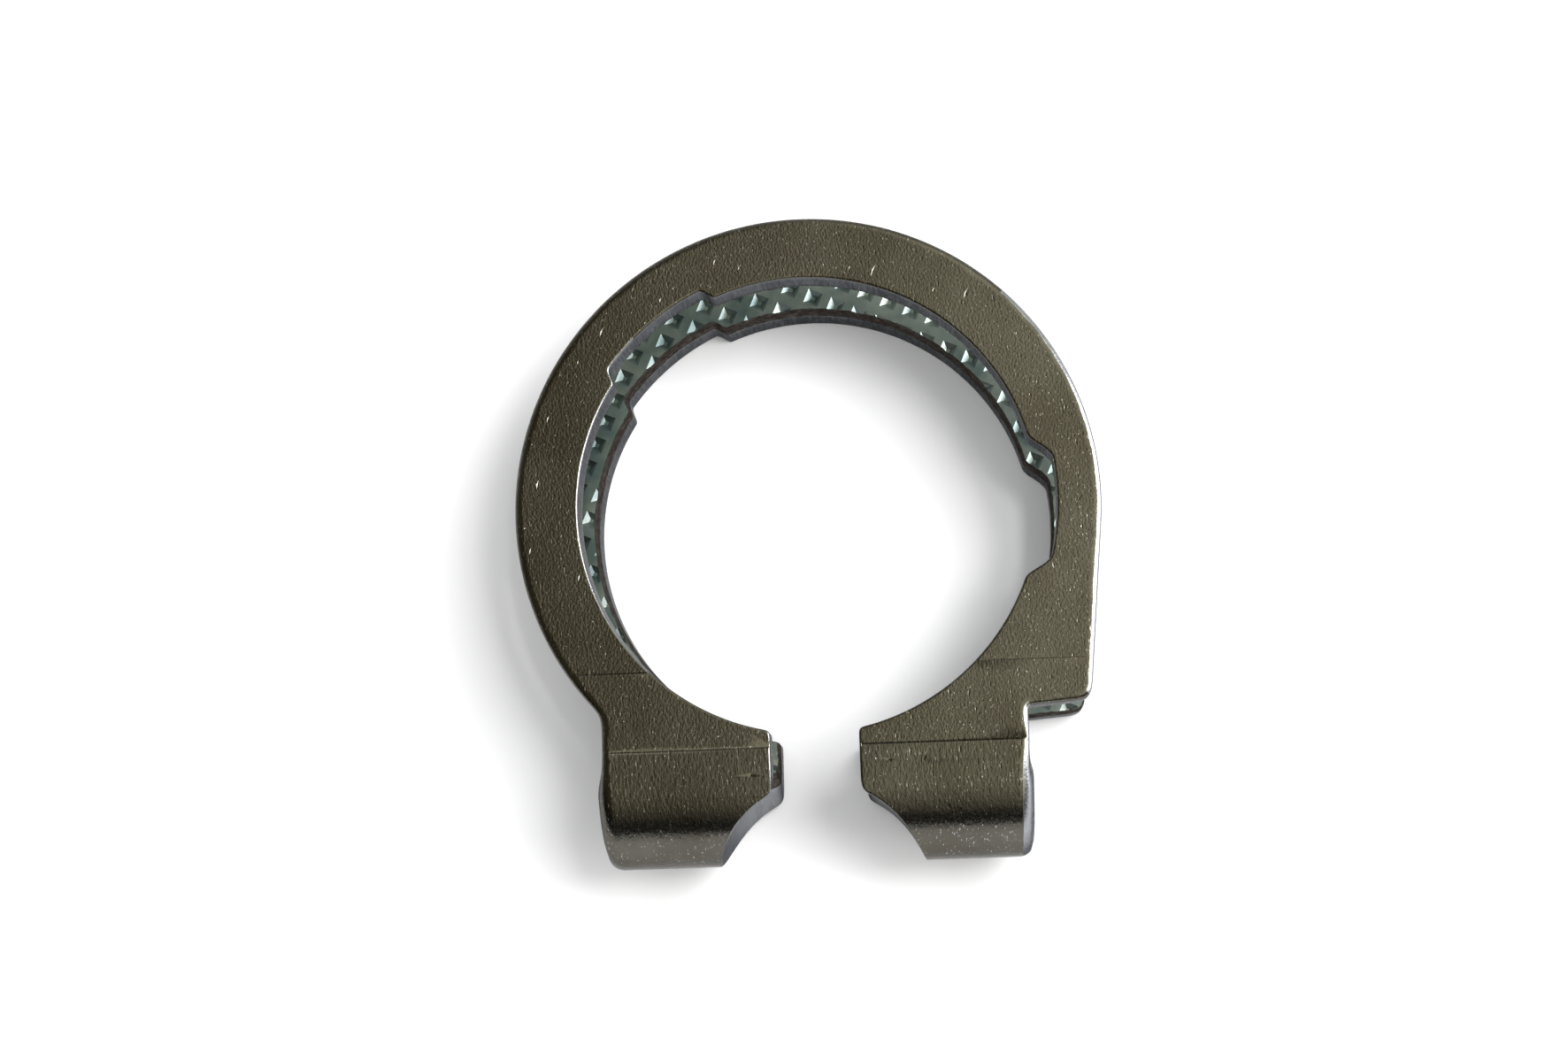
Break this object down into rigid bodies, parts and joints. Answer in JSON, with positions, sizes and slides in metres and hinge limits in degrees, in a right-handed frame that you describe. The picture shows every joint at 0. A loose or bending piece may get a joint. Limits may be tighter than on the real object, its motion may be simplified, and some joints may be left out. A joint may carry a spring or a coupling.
{
  "type": "split tube clamp body",
  "caption": "Split ring clamp body folded from one thick steel blank: two open rings joined by two U-folded bolt lugs, with a stop shoulder.",
  "frame": {"origin": "on the bore's axis, at the rear face that the clamp lies on", "axes": "+Z along the bore's axis from the rear face to the front face, +Y from the lugs to the crown of the ring, +X to the side with the shoulder"},
  "size_m": [0.0638, 0.0704, 0.025],
  "materials": {
    "zinc_plated_steel": "satin"
  },
  "bodies": {
    "root": {"clamp_body": "zinc_plated_steel"}
  },
  "joints": []
}
